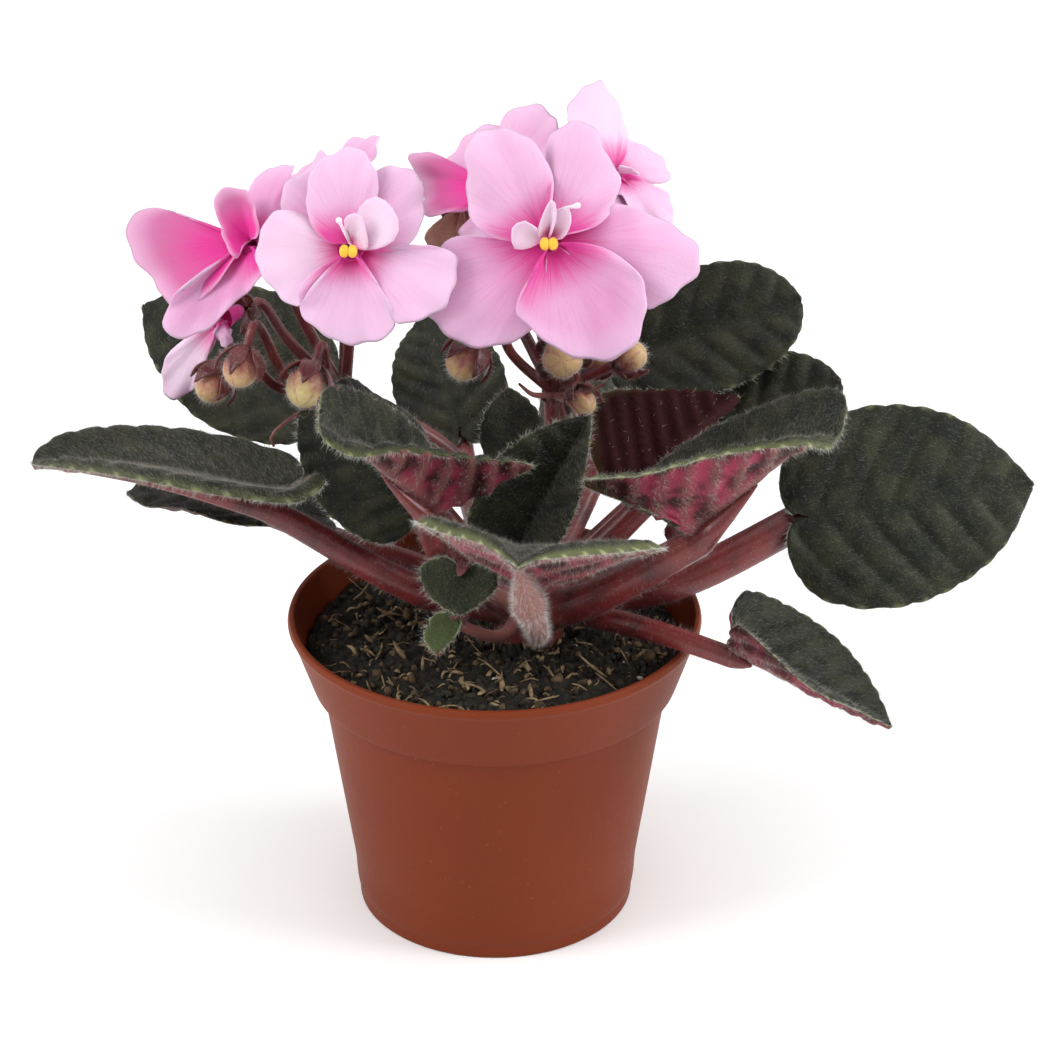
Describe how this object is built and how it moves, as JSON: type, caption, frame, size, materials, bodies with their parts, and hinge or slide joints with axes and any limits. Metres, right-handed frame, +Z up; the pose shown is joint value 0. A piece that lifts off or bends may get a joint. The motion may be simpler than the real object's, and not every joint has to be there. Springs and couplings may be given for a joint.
{
  "type": "potted african violet",
  "caption": "Potted African violet: a rosette of hairy heart-shaped leaves and two sprays of pink ruffled blooms growing from soil in a small round plastic nursery pot.",
  "frame": {"origin": "middle of the flat panel under the pot, level with the foot ring that the pot stands on", "axes": "+Z up, +X to the right and +Y away from the viewer, as seen from the front of the plant"},
  "size_m": [0.1435, 0.1121, 0.1216],
  "materials": {
    "pot_plastic": "satin",
    "potting_soil": "matte",
    "leaf_stalk": "matte",
    "leaf": "matte",
    "petal": "matte",
    "withered_petal": "matte",
    "anther": "matte",
    "bud": "matte",
    "flower_stalk": "matte"
  },
  "bodies": {
    "root": {"pot": "pot_plastic", "soil": "potting_soil", "crown_and_stalks": "leaf_stalk", "leaf_left_long": "leaf", "leaf_left_low": "leaf", "leaf_left_dark": "leaf", "leaf_left_raised": "leaf", "leaf_left_folded": "leaf", "leaf_front_notched": "leaf", "leaf_right_folded": "leaf", "leaf_right_burgundy": "leaf", "leaf_right_top": "leaf", "leaf_right_behind": "leaf", "leaf_right_wide": "leaf", "leaf_right_low": "leaf", "leaf_front_heart": "leaf", "leaf_front_small": "leaf", "leaf_middle_pointed": "leaf", "leaf_middle_curled": "leaf", "leaf_back_inner": "leaf", "leaf_back_middle": "leaf", "leaf_back_left": "leaf", "leaf_back_right": "leaf", "bloom_right_front": "petal", "bloom_left_front": "petal", "bloom_left_side": "petal", "bloom_left_back": "petal", "bloom_left_spent": "petal", "bloom_right_back": "petal", "bloom_right_high": "petal", "bloom_right_withered": "withered_petal", "anthers_right_front": "anther", "anthers_left_front": "anther", "bud_left_front": "bud", "bud_left_arched": "bud", "bud_left_low": "bud", "bud_right_arched": "bud", "bud_right_front": "bud", "bud_right_middle": "bud", "bud_right_outer": "bud", "bud_right_low": "bud", "spray_left": "flower_stalk", "spray_right": "flower_stalk"}
  },
  "joints": []
}
